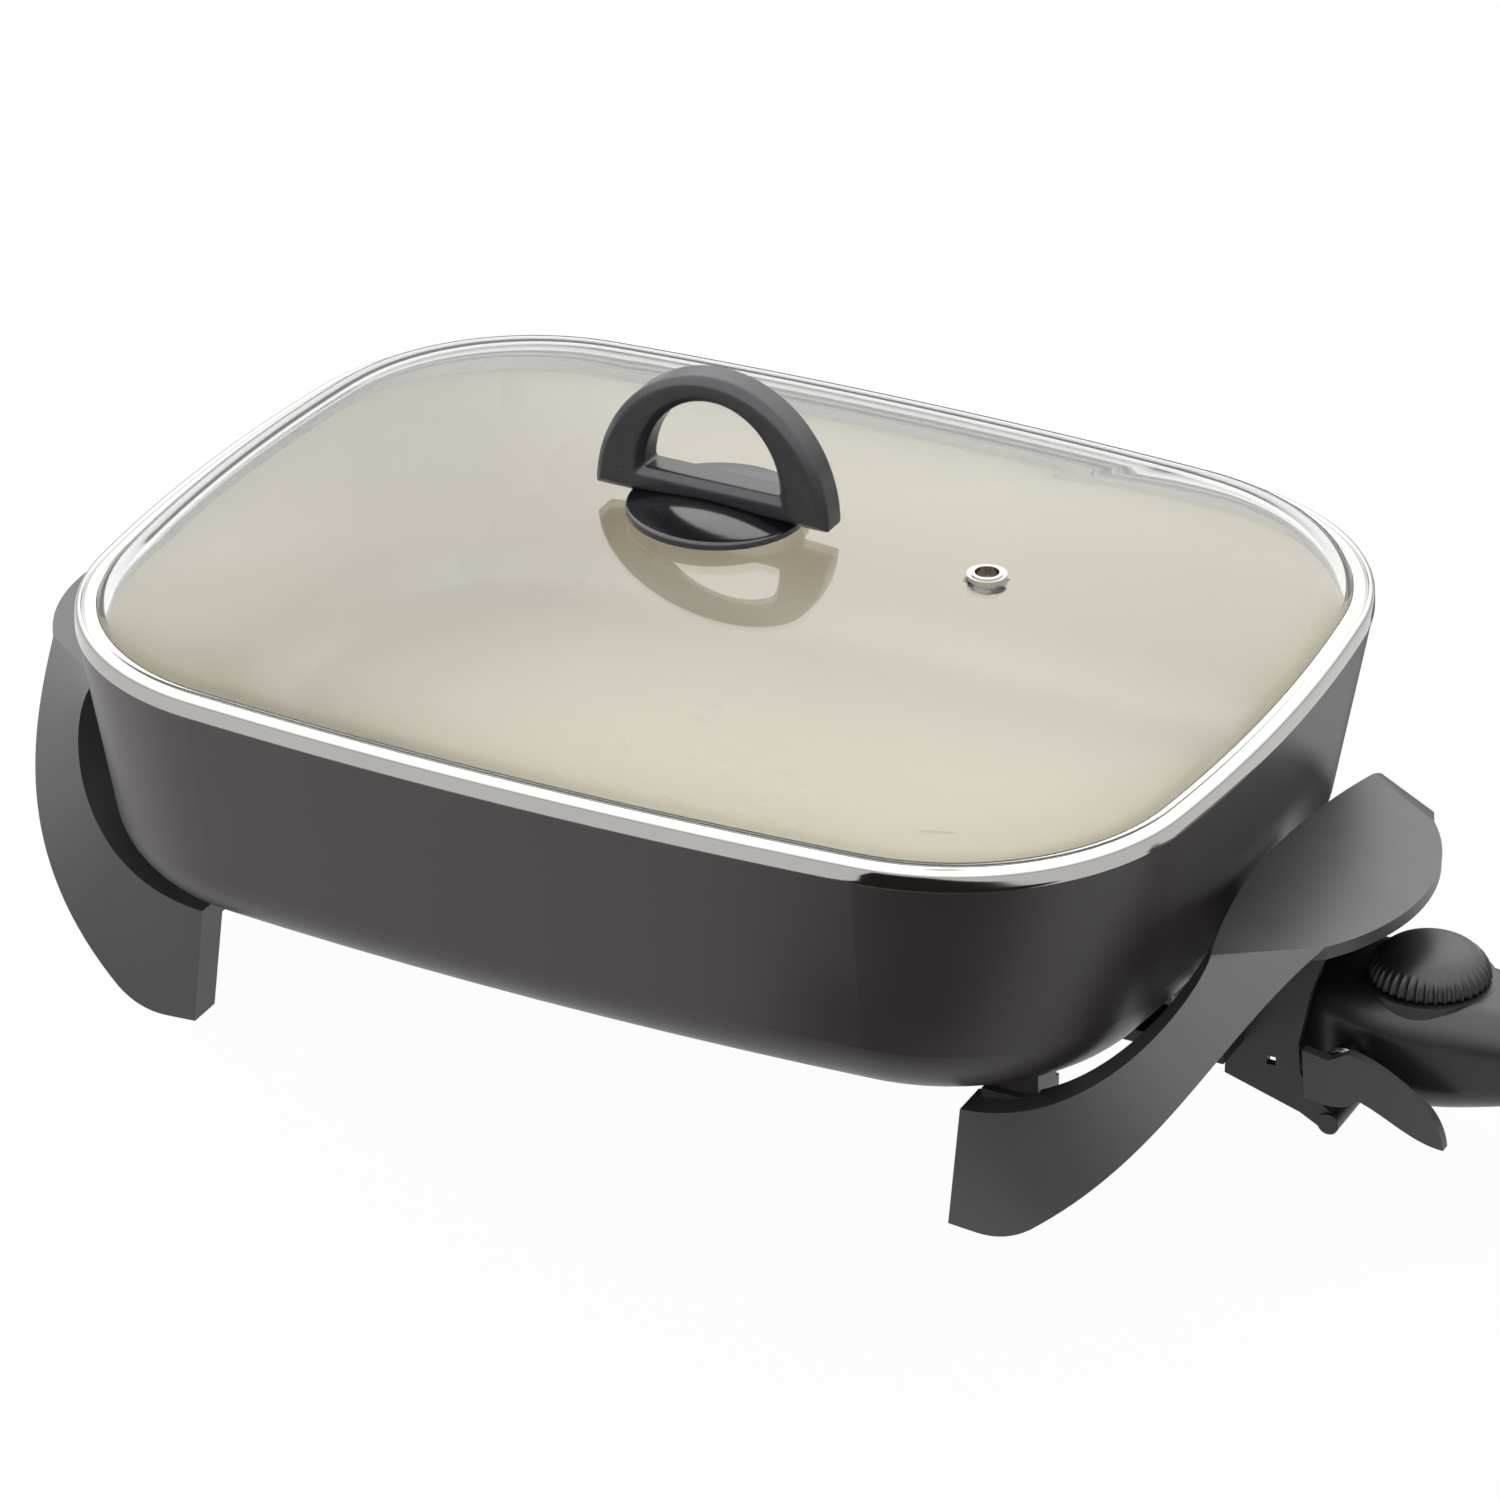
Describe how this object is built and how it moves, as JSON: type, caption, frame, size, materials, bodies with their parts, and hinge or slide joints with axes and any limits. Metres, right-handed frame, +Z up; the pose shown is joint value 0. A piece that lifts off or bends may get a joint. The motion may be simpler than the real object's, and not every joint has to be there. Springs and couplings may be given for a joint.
{
  "type": "electric skillet",
  "caption": "Deep rectangular electric skillet with a lift-off glass lid, two end frames with grips and legs, and a plug-in temperature controller.",
  "frame": {"origin": "on the table, under the middle of the whole appliance, controller plugged in", "axes": "+X along the pan towards the controller, +Z up, Y across the pan"},
  "size_m": [0.5904, 0.3032, 0.215],
  "materials": {
    "pan_finish": "satin dark coating on cast aluminium",
    "ceramic": "opaque semi-gloss cream ceramic non-stick",
    "steel": "plain zinc or nickel finish",
    "polished_steel": "polished stainless",
    "porcelain": "opaque matte steatite",
    "phenolic": "satin black moulding",
    "guard_plastic": "black moulding",
    "gloss_phenolic": "glossy black moulding",
    "clear_glass": "clear tempered glass",
    "silicone": "matte silicone",
    "controller_plastic": "satin black moulding",
    "dial_plastic": "satin black moulding",
    "lever_plastic": "matte grey moulding",
    "brass": "plain brass",
    "silver_contact": "silver contact faces",
    "amber_lens": "clear amber"
  },
  "bodies": {
    "skillet": {"pan_body": "pan_finish", "ceramic_coating": "ceramic", "heating_element": "steel", "terminal_pins": "steel", "terminal_insulators": "porcelain", "left_end_frame": "phenolic", "right_end_frame": "phenolic", "frame_screws": "steel", "plug_guard": "guard_plastic", "guard_screws": "steel"},
    "lid": {"lid_glass": "clear_glass", "lid_rim": "polished_steel", "steam_vent": "polished_steel", "lid_handle": "gloss_phenolic", "handle_base": "gloss_phenolic", "handle_screw": "steel", "handle_washer": "steel", "handle_gasket": "silicone"},
    "controller": {"controller_upper_housing": "controller_plastic", "controller_lower_housing": "controller_plastic", "housing_screws": "steel", "probe_rod": "polished_steel", "terminal_sockets": "brass", "thermostat_frame": "steel", "blade_insulators": "porcelain", "contact_blade": "brass", "contact_points": "silver_contact", "bimetal_strip": "steel", "indicator_lens": "amber_lens", "neon_lamp": "clear_glass", "cord_gland": "controller_plastic", "lever_pin": "steel", "lever_spring": "steel"},
    "dial": {"dial_knob": "dial_plastic", "dial_shaft": "brass"},
    "release_lever": {"release_lever": "lever_plastic"}
  },
  "joints": [
    {"name": "lid_lift", "type": "slide", "parent": "skillet", "child": "lid", "axis": [0, 0, 1], "range_m": [0, 0.12]},
    {"name": "controller_unplug", "type": "slide", "parent": "skillet", "child": "controller", "axis": [1, 0, 0], "range_m": [0, 0.1]},
    {"name": "dial_turn", "type": "hinge", "parent": "controller", "child": "dial", "pos_m": [0.19975, 0, 0.0592], "axis": [0, 0, 1], "range_deg": [-300, 0]},
    {"name": "lever_press", "type": "hinge", "parent": "controller", "child": "release_lever", "pos_m": [0.18275, -0.0326, 0.036], "axis": [0, 1, 0], "range_deg": [0, 12], "stiffness_Nm_per_rad": 0.3, "springref_deg": -5.73}
  ]
}
